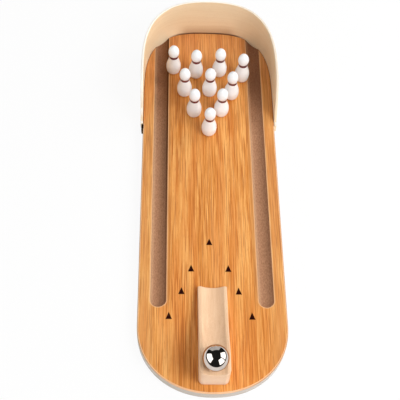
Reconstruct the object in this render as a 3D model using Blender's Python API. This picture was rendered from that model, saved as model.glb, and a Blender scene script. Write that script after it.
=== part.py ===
"""Tabletop bowling game: a grooved board with a bent fence, a launching ramp, a steel ball and ten pins.

Metres, +Z up. The board runs along Y: the ramp stands at -Y and the pins at +Y, inside the fence.
The origin is the middle of the whole game's footprint, on the surface that it stands on.
"""
import math

import bmesh
import bpy
from mathutils import Vector

# Board
board_width = 0.0955
board_length = 0.2922
board_thickness = 0.0075
front_depth = 0.0447
front_fullness = 2.12
back_depth = 0.061
back_fullness = 3.0
rim_round = 0.0009
foot_chamfer = 0.0004

# Gutters, routed with a round-nosed cutter
gutter_width = 0.010
gutter_depth = 0.0028
gutter_side_margin = 0.0079
gutter_front_margin = 0.0571

# Fence, a bent strip round the back end
fence_thickness = 0.0017
fence_back_height = 0.0336
fence_side_height = 0.0264
fence_reach = 0.0893
fence_tab_length = 0.0033
fence_shoulder_length = 0.024
fence_edge_round = 0.0005
fence_corner_radius = 0.001

# Fence screw, let into the board's left side in front of the fence's end
screw_head_diameter = 0.0068
screw_head_height = 0.0015
screw_recess_depth = 0.0005
screw_shank_diameter = 0.003
screw_length = 0.008
screw_tip_length = 0.0016
screw_end_margin = 0.0024

# Ramp
ramp_width = 0.0188
ramp_length = 0.0646
ramp_top_height = 0.017
ramp_lip_height = 0.0036
ramp_landing_length = 0.010
ramp_front_margin = 0.0056
ramp_corner_radius = 0.0032
ramp_groove_width = 0.0146
ramp_groove_depth = 0.0024

# Ball
ball_diameter = 0.016
ball_end_margin = 0.0079

# Pins
pin_height = 0.0264
pin_base_diameter = 0.0072
pin_belly_diameter = 0.0111
pin_neck_diameter = 0.0062
pin_head_diameter = 0.008
pin_foot_chamfer = 0.0006
pin_belly_height = 0.0063
pin_neck_height = 0.0165
pin_head_height = 0.0205
pin_pitch = 0.0178
head_pin_margin = 0.0961

# Clearances: resting or touching pieces, and the room round the screw
seat_gap = 0.0003
hole_clearance = 0.0003
cutter_overrun = 0.002

# Where the fence's rounded front corners are drawn, as shares of their radius
fence_corner_shares = (0.0, 0.1, 0.4, 1.0)

# How steeply the fence's shoulder leaves its tab, and how late its top rises behind the shoulder
shoulder_power_share = 0.85
rise_power_share = 1.3

# How the ramp's slope leaves the landing and meets the lip, as shares of its run and of its drop
slope_start_share = 0.18
slope_end_run_share = 0.35
slope_end_drop_share = 0.89

# Where each pin stands behind the head pin, as shares of the pin pitch: across, and along the lane
pin_place_shares = (
    (-0.01, 0.00),
    (-0.61, 0.94), (0.51, 0.98),
    (-1.00, 2.01), (0.04, 2.03), (0.95, 1.88),
    (-1.46, 3.22), (-0.52, 3.01), (0.48, 3.11), (1.42, 2.85),
)

# Facets
end_steps = 24
shoulder_steps = 10
corner_steps = 6
gutter_steps = 26
slope_steps = 18
pin_sides = 24
ball_sides = 28
screw_sides = 24

half_width = board_width / 2
overall_length = board_length + seat_gap + fence_thickness
front_y = -overall_length / 2
back_y = front_y + board_length
ramp_near_y = front_y + ramp_front_margin
fence_front_y = back_y - fence_reach
fence_middle_z = (board_thickness + seat_gap) / 2
screw_y = fence_front_y - screw_end_margin
screw_seat_x = half_width - screw_recess_depth


# Materials and objects

def make_material(name, colour, roughness, metallic=0.0):
    """A plain Principled material."""
    material = bpy.data.materials.new(name)
    material.use_nodes = True
    shader = material.node_tree.nodes["Principled BSDF"]
    shader.inputs["Base Color"].default_value = (*colour, 1.0)
    shader.inputs["Roughness"].default_value = roughness
    shader.inputs["Metallic"].default_value = metallic
    material.diffuse_color = (*colour, 1.0)
    return material


def mesh_from(bm, name, smooth_angle=math.radians(40)):
    """Turns a bmesh into a mesh that is smooth up to the given angle."""
    bmesh.ops.recalc_face_normals(bm, faces=bm.faces)
    mesh = bpy.data.meshes.new(name)
    bm.to_mesh(mesh)
    bm.free()
    mesh.shade_smooth()
    mesh.set_sharp_from_angle(angle=smooth_angle)
    return mesh


def place(name, mesh, material=None, location=(0, 0, 0)):
    """Links one named object to the scene."""
    thing = bpy.data.objects.new(name, mesh)
    thing.location = location
    if material and not mesh.materials:
        mesh.materials.append(material)
    bpy.context.scene.collection.objects.link(thing)
    return thing


def cut(thing, cutter):
    """Subtracts a hidden cutter from an object."""
    cutter.hide_render = True
    cutter.display_type = "WIRE"
    modifier = thing.modifiers.new("Cut " + cutter.name, "BOOLEAN")
    modifier.operation = "DIFFERENCE"
    modifier.object = cutter


def loft(loops):
    """Skins equal loops of points one after the other and closes both ends."""
    bm = bmesh.new()
    rings = [[bm.verts.new(point) for point in loop] for loop in loops]
    count = len(rings[0])
    for lower, upper in zip(rings, rings[1:]):
        for i in range(count):
            j = (i + 1) % count
            bm.faces.new((lower[i], lower[j], upper[j], upper[i]))
    bm.faces.new(rings[0])
    bm.faces.new(rings[-1])
    return bm


def turn(profile, sides):
    """Turns a profile of (radius, height) pairs about Z; a radius of zero closes the shape in a point."""
    bm = bmesh.new()
    rings = []
    for radius, height in profile:
        if radius == 0:
            rings.append([bm.verts.new((0, 0, height))])
            continue
        angles = [2 * math.pi * k / sides for k in range(sides)]
        rings.append([bm.verts.new((radius * math.cos(a), radius * math.sin(a), height)) for a in angles])
    for lower, upper in zip(rings, rings[1:]):
        for i in range(sides):
            j = (i + 1) % sides
            corners = [lower[i % len(lower)], lower[j % len(lower)], upper[j % len(upper)], upper[i % len(upper)]]
            bm.faces.new(list(dict.fromkeys(corners)))
    for ring in (rings[0], rings[-1]):
        if len(ring) > 1:
            bm.faces.new(ring)
    return bm


# The board's outline

def end_curve(fullness, depth, steps):
    """One end of the board, from its right side over the middle to its left: points and outward normals.

    The curve is |x / half_width| ** fullness + |y / depth| ** fullness = 1, with y measured outwards.
    """
    points = []
    for k in range(steps + 1):
        angle = math.pi * k / steps
        across = math.copysign(abs(math.cos(angle)) ** (2 / fullness), math.cos(angle))
        along = math.sin(angle) ** (2 / fullness) if 0 < k < steps else 0.0
        slope = Vector((math.copysign(abs(across) ** (fullness - 1), across) / half_width,
                        along ** (fullness - 1) / depth))
        points.append((Vector((across * half_width, along * depth)), slope.normalized()))
    return points


def board_outline(offset):
    """The board's plan, anticlockwise from the right side of the back end, moved outwards by offset."""
    outline = []
    for point, normal in end_curve(back_fullness, back_depth, end_steps):
        moved = point + normal * offset
        outline.append((moved.x, back_y - back_depth + moved.y))
    for point, normal in end_curve(front_fullness, front_depth, end_steps):
        moved = point + normal * offset
        outline.append((-moved.x, front_y + front_depth - moved.y))
    return outline


def board_layers():
    """Offsets and heights up the board's edge: a small chamfer below and a quarter round above."""
    layers = [(-foot_chamfer, 0.0), (0.0, foot_chamfer)]
    for k in range(4):
        angle = math.pi / 2 * k / 3
        inward = rim_round * (1 - math.cos(angle))
        layers.append((-inward, board_thickness - rim_round * (1 - math.sin(angle))))
    return layers


def gutter_cutter(side):
    """A round-nosed bar along the lane's edge, which leaves a cove with a half-round front end."""
    radius = ((gutter_width / 2) ** 2 + gutter_depth ** 2) / (2 * gutter_depth)
    nose_reach = math.sqrt(radius ** 2 - (radius - gutter_depth) ** 2)
    start = front_y + gutter_front_margin + nose_reach
    reach = back_y + cutter_overrun - start
    profile = [(radius, reach), (radius, 0.0)]
    nose_steps = gutter_steps // 4
    for k in range(1, nose_steps):
        angle = math.pi / 2 * k / nose_steps
        profile.append((radius * math.cos(angle), -radius * math.sin(angle)))
    profile.append((0.0, -radius))
    mesh = mesh_from(turn(profile, gutter_steps), "gutter_cutter")
    across = half_width - gutter_side_margin - gutter_width / 2
    cutter = place("gutter_cutter", mesh, None, (side * across, start, board_thickness - gutter_depth + radius))
    cutter.rotation_euler = (-math.pi / 2, 0, 0)
    return cutter


def screw_cutter():
    """The hole for the screw's shank and the wider recess round its head, which also notches the fence."""
    hole = screw_shank_diameter / 2 + hole_clearance
    recess = screw_head_diameter / 2 + hole_clearance
    inner = screw_seat_x - screw_length - hole_clearance
    outer = half_width + seat_gap + fence_thickness + cutter_overrun
    profile = [(hole, inner), (hole, screw_seat_x), (recess, screw_seat_x), (recess, outer)]
    cutter = place("screw_cutter", mesh_from(turn(profile, screw_sides), "screw_cutter"), None,
                   (0, screw_y, fence_middle_z))
    cutter.rotation_euler = (0, -math.pi / 2, 0)
    return cutter


def build_board(material, screw_hole):
    """The routed board."""
    loops = [[(x, y, height) for x, y in board_outline(offset)] for offset, height in board_layers()]
    board = place("board", mesh_from(loft(loops), "board"), material)
    for side in (-1, 1):
        cut(board, gutter_cutter(side))
    cut(board, screw_hole)


# Fence

def fence_line():
    """The line that the strip follows, from its right front end round the back: points and outward normals."""
    bend = [(Vector((point.x, back_y - back_depth + point.y)), normal)
            for point, normal in end_curve(back_fullness, back_depth, 2 * end_steps)]
    right = (Vector((half_width, fence_front_y)), Vector((1, 0)))
    left = (Vector((-half_width, fence_front_y)), Vector((-1, 0)))
    return [right, *bend, left]


def fence_stations():
    """Where the strip's sections stand on its line: point, outward normal, distance from the nearer end."""
    line = fence_line()
    reached = [0.0]
    for (point, _), (ahead, _) in zip(line, line[1:]):
        reached.append(reached[-1] + (ahead - point).length)
    total = reached[-1]
    shaped = [fence_corner_radius * share for share in fence_corner_shares]
    shaped += [fence_tab_length + fence_shoulder_length * k / shoulder_steps for k in range(shoulder_steps + 1)]
    shaped += [total - distance for distance in shaped]
    bend = [distance for distance in reached[1:-1]
            if min(abs(distance - other) for other in shaped) > fence_edge_round]
    stations = []
    for distance in sorted(shaped + bend):
        k = max(i for i in range(len(line) - 1) if reached[i] <= distance)
        share = (distance - reached[k]) / (reached[k + 1] - reached[k])
        point = line[k][0].lerp(line[k + 1][0], share)
        normal = line[k][1].lerp(line[k + 1][1], share).normalized()
        stations.append((point, normal, min(distance, total - distance)))
    return stations, total / 2


def fence_top(distance, half_length):
    """Height of the fence's top edge at a distance from its nearer front end."""
    shoulder_end = fence_tab_length + fence_shoulder_length
    if distance <= fence_tab_length:
        return board_thickness
    if distance < shoulder_end:
        share = (distance - fence_tab_length) / fence_shoulder_length
        return board_thickness + fence_side_height * math.sin(math.pi / 2 * share) ** shoulder_power_share
    share = ((distance - shoulder_end) / (half_length - shoulder_end)) ** rise_power_share
    ease = share * share * (3 - 2 * share)
    return board_thickness + fence_side_height + (fence_back_height - fence_side_height) * ease


def fence_section(distance, half_length):
    """Offsets and heights round the strip: square below, edges eased above, front corners rounded."""
    bottom = seat_gap
    top = fence_top(distance, half_length)
    if distance < fence_corner_radius:
        away = fence_corner_radius - distance
        drop = fence_corner_radius - math.sqrt(fence_corner_radius ** 2 - away ** 2)
        bottom += drop
        top -= drop
    inner = seat_gap
    outer = seat_gap + fence_thickness
    ease = fence_edge_round
    return [(inner, bottom), (outer, bottom), (outer, top - ease), (outer - ease, top),
            (inner + ease, top), (inner, top - ease)]


def build_fence(material, screw_hole):
    """The bent strip that stops the ball and the pins."""
    stations, half_length = fence_stations()
    loops = []
    for point, normal, distance in stations:
        section = fence_section(distance, half_length)
        loops.append([(*(point + normal * offset), height) for offset, height in section])
    fence = place("fence", mesh_from(loft(loops), "fence"), material)
    cut(fence, screw_hole)


# Fence screw

def screw_profile():
    """Pointed shank and domed head of a short pan-head screw, from the tip outwards."""
    shank = screw_shank_diameter / 2
    head = screw_head_diameter / 2
    straight_share = 0.3
    profile = [(0.0, -screw_length), (shank, screw_tip_length - screw_length), (shank, 0.0), (head, 0.0)]
    profile.append((head, screw_head_height * straight_share))
    dome = screw_head_height * (1 - straight_share)
    for k in range(1, 4):
        angle = math.pi / 2 * k / 4
        profile.append((head * math.cos(angle), screw_head_height * straight_share + dome * math.sin(angle)))
    profile.append((0.0, screw_head_height))
    return profile


def build_screw(material):
    """The screw in the board's left side."""
    mesh = mesh_from(turn(screw_profile(), screw_sides), "fence_screw")
    screw = place("fence_screw", mesh, material, (-screw_seat_x - seat_gap, screw_y, fence_middle_z))
    screw.rotation_euler = (0, -math.pi / 2, 0)


# Ramp

def ramp_height(y):
    """Height of the ramp's rims above its foot, y being measured from the near end."""
    return next_height(y, ramp_crest())


def ramp_crest():
    """The ramp's top line from the near end to the lip: a level landing, then one smooth Bezier slope."""
    run = ramp_length - ramp_landing_length
    drop = ramp_top_height - ramp_lip_height
    corners = [
        (ramp_landing_length, ramp_top_height),
        (ramp_landing_length + run * slope_start_share, ramp_top_height),
        (ramp_landing_length + run * slope_end_run_share, ramp_top_height - drop * slope_end_drop_share),
        (ramp_length, ramp_lip_height),
    ]
    line = [(0.0, ramp_top_height)]
    for k in range(slope_steps + 1):
        t = k / slope_steps
        weights = ((1 - t) ** 3, 3 * t * (1 - t) ** 2, 3 * t * t * (1 - t), t ** 3)
        line.append(tuple(sum(w * corner[axis] for w, corner in zip(weights, corners)) for axis in (0, 1)))
    return line


def next_height(y, line):
    """Height of a line of (y, height) points at y."""
    for (y0, z0), (y1, z1) in zip(line, line[1:]):
        if y <= y1:
            return z0 + (z1 - z0) * (y - y0) / (y1 - y0)
    return line[-1][1]


def build_ramp(material):
    """The grooved ramp: its side profile drawn across its width, near corners rounded, groove swept out."""
    crest = ramp_crest()
    half = ramp_width / 2
    profile = [(0.0, 0.0)] + crest + [(ramp_length, 0.0)]
    loops = [[(x, y, z) for y, z in profile] for x in (-half, half)]
    bm = loft(loops)
    bmesh.ops.recalc_face_normals(bm, faces=bm.faces)
    upright = [edge for edge in bm.edges if all(v.co.y == 0 for v in edge.verts)
               and edge.verts[0].co.x == edge.verts[1].co.x]
    bmesh.ops.bevel(bm, geom=upright, offset=ramp_corner_radius, segments=corner_steps, profile=0.5,
                    affect="EDGES", clamp_overlap=True)
    place_at = (0, ramp_near_y, board_thickness + seat_gap)
    ramp = place("ramp", mesh_from(bm, "ramp"), material, place_at)
    cutter = place("ramp_groove_cutter", mesh_from(groove_sweep(crest), "ramp_groove"), None, place_at)
    cut(ramp, cutter)


def groove_sweep(crest):
    """A round bar carried along the ramp's top line, which leaves a shallow channel of even depth."""
    radius = ((ramp_groove_width / 2) ** 2 + ramp_groove_depth ** 2) / (2 * ramp_groove_depth)
    (first_y, first_z), (last_y, last_z) = crest[0], crest[-1]
    line = [(first_y - cutter_overrun, first_z)] + crest[1:-1] + [(last_y, last_z)]
    line.append((last_y + cutter_overrun, last_z))
    loops = []
    sides = 2 * gutter_steps
    for y, z in line:
        middle = z - ramp_groove_depth + radius
        angles = [2 * math.pi * k / sides for k in range(sides)]
        loops.append([(radius * math.sin(a), y, middle - radius * math.cos(a)) for a in angles])
    return loft(loops)


# Ball and pins

def build_ball(material):
    """The steel ball at rest on the ramp's landing."""
    radius = ball_diameter / 2
    rings = ball_sides // 2
    profile = [(0.0, -radius)]
    for k in range(1, rings):
        angle = math.pi * k / rings
        profile.append((radius * math.sin(angle), -radius * math.cos(angle)))
    profile.append((0.0, radius))
    floor = board_thickness + seat_gap + ramp_height(ball_end_margin) - ramp_groove_depth
    centre = (0, ramp_near_y + ball_end_margin, floor + seat_gap + radius)
    place("ball", mesh_from(turn(profile, ball_sides), "ball"), material, centre)


def pin_profile():
    """Foot, swelling belly, waisted neck and round head, each stretch eased into the next."""
    base = pin_base_diameter / 2
    belly = pin_belly_diameter / 2
    neck = pin_neck_diameter / 2
    head = pin_head_diameter / 2
    profile = [(base - pin_foot_chamfer, 0.0), (base, pin_foot_chamfer)]
    for k in range(1, 5):
        angle = math.pi / 2 * k / 4
        rise = (pin_belly_height - pin_foot_chamfer) * (1 - math.cos(angle))
        profile.append((base + (belly - base) * math.sin(angle), pin_foot_chamfer + rise))
    for low, high, low_z, high_z in ((belly, neck, pin_belly_height, pin_neck_height),
                                     (neck, head, pin_neck_height, pin_head_height)):
        steps = 5 if low > high else 3
        for k in range(1, steps + 1):
            share = k / steps
            ease = (1 - math.cos(math.pi * share)) / 2
            profile.append((low + (high - low) * ease, low_z + (high_z - low_z) * share))
    for k in range(1, 4):
        angle = math.pi / 2 * k / 4
        profile.append((head * math.cos(angle), pin_head_height + (pin_height - pin_head_height) * math.sin(angle)))
    profile.append((0.0, pin_height))
    return profile


def build_pins(material):
    """Ten loose pins on their spots."""
    mesh = mesh_from(turn(pin_profile(), pin_sides), "pin")
    for number, (across, along) in enumerate(pin_place_shares, 1):
        x = across * pin_pitch
        y = back_y - head_pin_margin + along * pin_pitch
        place(f"pin_{number:02d}", mesh, material, (x, y, board_thickness + seat_gap))


def build_game():
    """Clears the scene and makes every piece."""
    for thing in list(bpy.data.objects):
        bpy.data.objects.remove(thing, do_unlink=True)
    orange_wood = make_material("orange wood grain", (0.75, 0.31, 0.08), 0.42)
    beech = make_material("bent beech veneer", (0.78, 0.58, 0.36), 0.5)
    maple = make_material("pale ramp wood", (0.85, 0.66, 0.44), 0.5)
    black_steel = make_material("black screw steel", (0.02, 0.02, 0.02), 0.4, 0.6)
    steel = make_material("polished steel", (0.8, 0.8, 0.8), 0.05, 1.0)
    white_paint = make_material("white painted wood", (0.9, 0.89, 0.87), 0.3)
    screw_hole = screw_cutter()
    build_board(orange_wood, screw_hole)
    build_fence(beech, screw_hole)
    build_screw(black_steel)
    build_ramp(maple)
    build_ball(steel)
    build_pins(white_paint)


build_game()
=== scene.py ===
import math

import bpy
import bmesh
import numpy as np
from mathutils import Matrix, Vector


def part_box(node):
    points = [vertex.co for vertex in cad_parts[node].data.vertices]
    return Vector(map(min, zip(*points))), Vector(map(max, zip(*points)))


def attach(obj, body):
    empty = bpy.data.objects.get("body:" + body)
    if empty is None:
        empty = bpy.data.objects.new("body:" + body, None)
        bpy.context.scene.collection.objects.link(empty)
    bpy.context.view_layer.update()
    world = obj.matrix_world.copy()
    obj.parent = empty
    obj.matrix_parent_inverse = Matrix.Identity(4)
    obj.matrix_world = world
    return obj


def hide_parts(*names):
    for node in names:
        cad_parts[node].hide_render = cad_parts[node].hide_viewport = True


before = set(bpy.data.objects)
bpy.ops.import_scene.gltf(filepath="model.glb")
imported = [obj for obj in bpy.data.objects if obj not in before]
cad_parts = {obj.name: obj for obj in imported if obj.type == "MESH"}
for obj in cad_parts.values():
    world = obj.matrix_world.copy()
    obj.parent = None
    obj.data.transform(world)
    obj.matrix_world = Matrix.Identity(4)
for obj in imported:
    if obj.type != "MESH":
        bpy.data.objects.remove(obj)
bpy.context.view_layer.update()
print("frame loaded:", len(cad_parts), "nodes")

# Everything is in metres in the frame's own axes: +Y runs up the lane, +Z up
mm = 0.001

boardLow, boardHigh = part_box("board")
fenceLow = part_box("fence")[0]
rampLow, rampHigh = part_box("ramp")
ballLow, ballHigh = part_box("ball")
screwLow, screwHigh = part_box("fence_screw")
laneTop = boardHigh.z
screwMiddle = (screwLow + screwHigh) / 2


def srgb(red, green, blue):
    # a colour as read off a screen, 0 to 255, turned into the linear light that shaders take
    share = np.array([red, green, blue]) / 255
    linear = np.where(share <= 0.04045, share / 12.92, ((share + 0.055) / 1.055) ** 2.4)
    return (*linear.tolist(), 1.0)


# Camera: the photograph's view, fitted to the board, the fence, the ramp and the pins
cameraValues = {
    "place": (-31.64 * mm, -326.36 * mm, 508.14 * mm),
    "lookDown": 57.57,
    "turn": -4.43,
    "roll": 4.52,
    "lens": 77.70,
    "sensor": 36.0,
}


def makeCamera(values):
    data = bpy.data.cameras.new("photoCamera")
    data.sensor_width = values["sensor"]
    data.lens = values["lens"]
    data.clip_start = 10 * mm
    data.clip_end = 20.0
    camera = bpy.data.objects.new("photoCamera", data)
    bpy.context.scene.collection.objects.link(camera)
    turn = Matrix.Rotation(math.radians(values["turn"]), 4, "Z")
    tilt = Matrix.Rotation(math.radians(90 - values["lookDown"]), 4, "X")
    roll = Matrix.Rotation(math.radians(values["roll"]), 4, "Z")
    camera.matrix_world = Matrix.Translation(values["place"]) @ turn @ tilt @ roll
    bpy.context.scene.camera = camera


makeCamera(cameraValues)
print("camera placed")


# Shader sums are written as plain expressions on Signals

class Signal:
    # one number that varies over a surface, held by a node's output socket

    def __init__(self, recipe, socket):
        self.recipe = recipe
        self.socket = socket

    def mathWith(self, operation, *others):
        values = {place: other for place, other in enumerate((self, *others))}
        return self.recipe.add("ShaderNodeMath", {"operation": operation}, values)

    def __add__(self, other):
        return self.mathWith("ADD", other)

    __radd__ = __add__

    def __sub__(self, other):
        return self.mathWith("SUBTRACT", other)

    def __rsub__(self, other):
        return (self * -1) + other

    def __mul__(self, other):
        return self.mathWith("MULTIPLY", other)

    def __truediv__(self, other):
        return self.mathWith("DIVIDE", other)

    def __abs__(self):
        return self.mathWith("ABSOLUTE")

    def low(self, other):
        return self.mathWith("MINIMUM", other)

    def high(self, other):
        return self.mathWith("MAXIMUM", other)

    def power(self, other):
        return self.mathWith("POWER", other)

    def fade(self, start, end, base=0.0):
        # 0 at start and 1 at end, both measured from base, eased between, either way round
        settings = {"interpolation_type": "SMOOTHSTEP"}
        values = {"Value": self, "From Min": base + start, "From Max": base + end}
        return self.recipe.add("ShaderNodeMapRange", settings, values)


class Nodes:
    # a node tree that is filled node by node

    def __init__(self, tree):
        self.tree = tree

    def add(self, kind, settings, values, output=0):
        # settings first, then each socket's value or link; gives back one output as a Signal
        node = self.tree.nodes.new(kind)
        for name, value in settings.items():
            if name == "stops":
                ramp = node.color_ramp
                while len(ramp.elements) < len(value):
                    ramp.elements.new(0.5)
                for element, (position, colour) in zip(ramp.elements, value):
                    element.position = position
                    element.color = colour
            else:
                setattr(node, name, value)
        for name, value in values.items():
            if isinstance(value, Signal):
                self.tree.links.new(value.socket, node.inputs[name])
            else:
                node.inputs[name].default_value = value
        return Signal(self, node.outputs[output])

    def split(self, vector):
        first = self.add("ShaderNodeSeparateXYZ", {}, {"Vector": vector}, "X")
        outputs = first.socket.node.outputs
        return first, Signal(self, outputs["Y"]), Signal(self, outputs["Z"])

    def spots(self, place, sizes, detail=2.0, roughness=0.5, warp=0.0):
        # noise whose spots measure sizes (in metres) along the three parts of place
        shares = [part / size for part, size in zip(place, sizes)]
        vector = self.add("ShaderNodeCombineXYZ", {}, dict(zip("XYZ", shares)))
        values = {"Detail": detail, "Roughness": roughness, "Distortion": warp}
        return self.add("ShaderNodeTexNoise", {}, {"Vector": vector, "Scale": 1.0, **values})

    def tones(self, value, stops):
        return self.add("ShaderNodeValToRGB", {"stops": stops}, {"Fac": value})

    def mix(self, amount, first, second):
        # the colour sockets of a Mix node are numbers 6 and 7, and its colour output is number 2
        return self.add("ShaderNodeMix", {"data_type": "RGBA"}, {0: amount, 6: first, 7: second}, 2)

    def coats(self, colour, *layers):
        # lays coats over a colour in turn, each of them (where it lies, (its colour, its strength))
        for where, (over, strength) in layers:
            colour = self.mix(where * strength, colour, over)
        return colour

    def dot(self, vector, direction):
        settings = {"operation": "DOT_PRODUCT"}
        return self.add("ShaderNodeVectorMath", settings, {0: vector, 1: direction}, "Value")

    def ray(self, kind):
        return self.add("ShaderNodeLightPath", {}, {}, kind)

    def choose(self, amount, first, second):
        return self.add("ShaderNodeMixShader", {}, {0: amount, 1: first, 2: second})

    def link(self, value, node, socket):
        self.tree.links.new(value.socket, node.inputs[socket])


class Recipe(Nodes):
    # one material, built up on its Principled shader

    def __init__(self, name, **constants):
        self.material = bpy.data.materials.new(name)
        self.material.use_nodes = True
        super().__init__(self.material.node_tree)
        self.shader = self.tree.nodes["Principled BSDF"]
        for socket, value in constants.items():
            self.shader.inputs[socket.replace("_", " ")].default_value = value
        place = self.add("ShaderNodeTexCoord", {}, {}, "Object")
        self.across, self.along, self.up = self.split(place)

    def facing(self):
        # the surface's own normal as three Signals
        return self.split(self.add("ShaderNodeTexCoord", {}, {}, "Normal"))

    def finish(self, colour, roughness, height=None, depth=0.0):
        self.link(colour, self.shader, "Base Color")
        self.link(roughness, self.shader, "Roughness")
        if height is not None:
            values = {"Height": height, "Distance": depth, "Strength": 1.0}
            self.link(self.add("ShaderNodeBump", {}, values), self.shader, "Normal")
        return self.material


# Surfaces: grids of points worked out as whole arrays

def gridFaces(rows, columns, start, closedRound):
    # quads between neighbouring rows of points; closedRound joins each row's end to its start
    index = start + np.arange(rows * columns).reshape(rows, columns)
    if closedRound:
        index = np.concatenate([index, index[:, :1]], axis=1)
    quads = np.stack([index[:-1, :-1], index[:-1, 1:], index[1:, 1:], index[1:, :-1]], axis=-1)
    return quads.reshape(-1, 4)


def makePiece(name, surfaces, body, node, materials, sharp=35.0):
    # surfaces: (points as rows x columns x 3, closedRound, material number, attribute or None)
    points, faces, numbers, marks = [], [], [], []
    start = 0
    for grid, closedRound, number, mark in surfaces:
        rows, columns = grid.shape[:2]
        quads = gridFaces(rows, columns, start, closedRound)
        points.append(grid.reshape(-1, 3))
        faces.append(quads)
        numbers.append(np.full(len(quads), number))
        marks.append(np.zeros((rows * columns, 3)) if mark is None else mark.reshape(-1, 3))
        start += rows * columns
    mesh = bpy.data.meshes.new(name)
    mesh.from_pydata(np.concatenate(points).tolist(), [], np.concatenate(faces).tolist())
    mesh.polygons.foreach_set("material_index", np.concatenate(numbers).astype(np.int32))
    grain = mesh.attributes.new("grain", "FLOAT_VECTOR", "POINT")
    grain.data.foreach_set("vector", np.concatenate(marks).astype(np.float32).ravel())
    joined = bmesh.new()
    joined.from_mesh(mesh)
    bmesh.ops.remove_doubles(joined, verts=joined.verts, dist=0.002 * mm)
    bmesh.ops.recalc_face_normals(joined, faces=joined.faces)
    joined.to_mesh(mesh)
    joined.free()
    for material in materials:
        mesh.materials.append(material)
    mesh.shade_smooth()
    mesh.set_sharp_from_angle(angle=math.radians(sharp))
    piece = bpy.data.objects.new(name, mesh)
    bpy.context.scene.collection.objects.link(piece)
    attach(piece, body)
    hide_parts(node)


def revolve(profile, sides, centre):
    # a profile of (radius, height) rows turned about the vertical through centre
    angle = np.linspace(0, 2 * np.pi, sides, endpoint=False)
    radius, height = profile[:, :1], profile[:, 1:]
    grid = np.stack([radius * np.cos(angle), radius * np.sin(angle), height + 0 * angle], axis=-1)
    return grid + np.array(centre)


# Board: its outline, its gutters and its print

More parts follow.
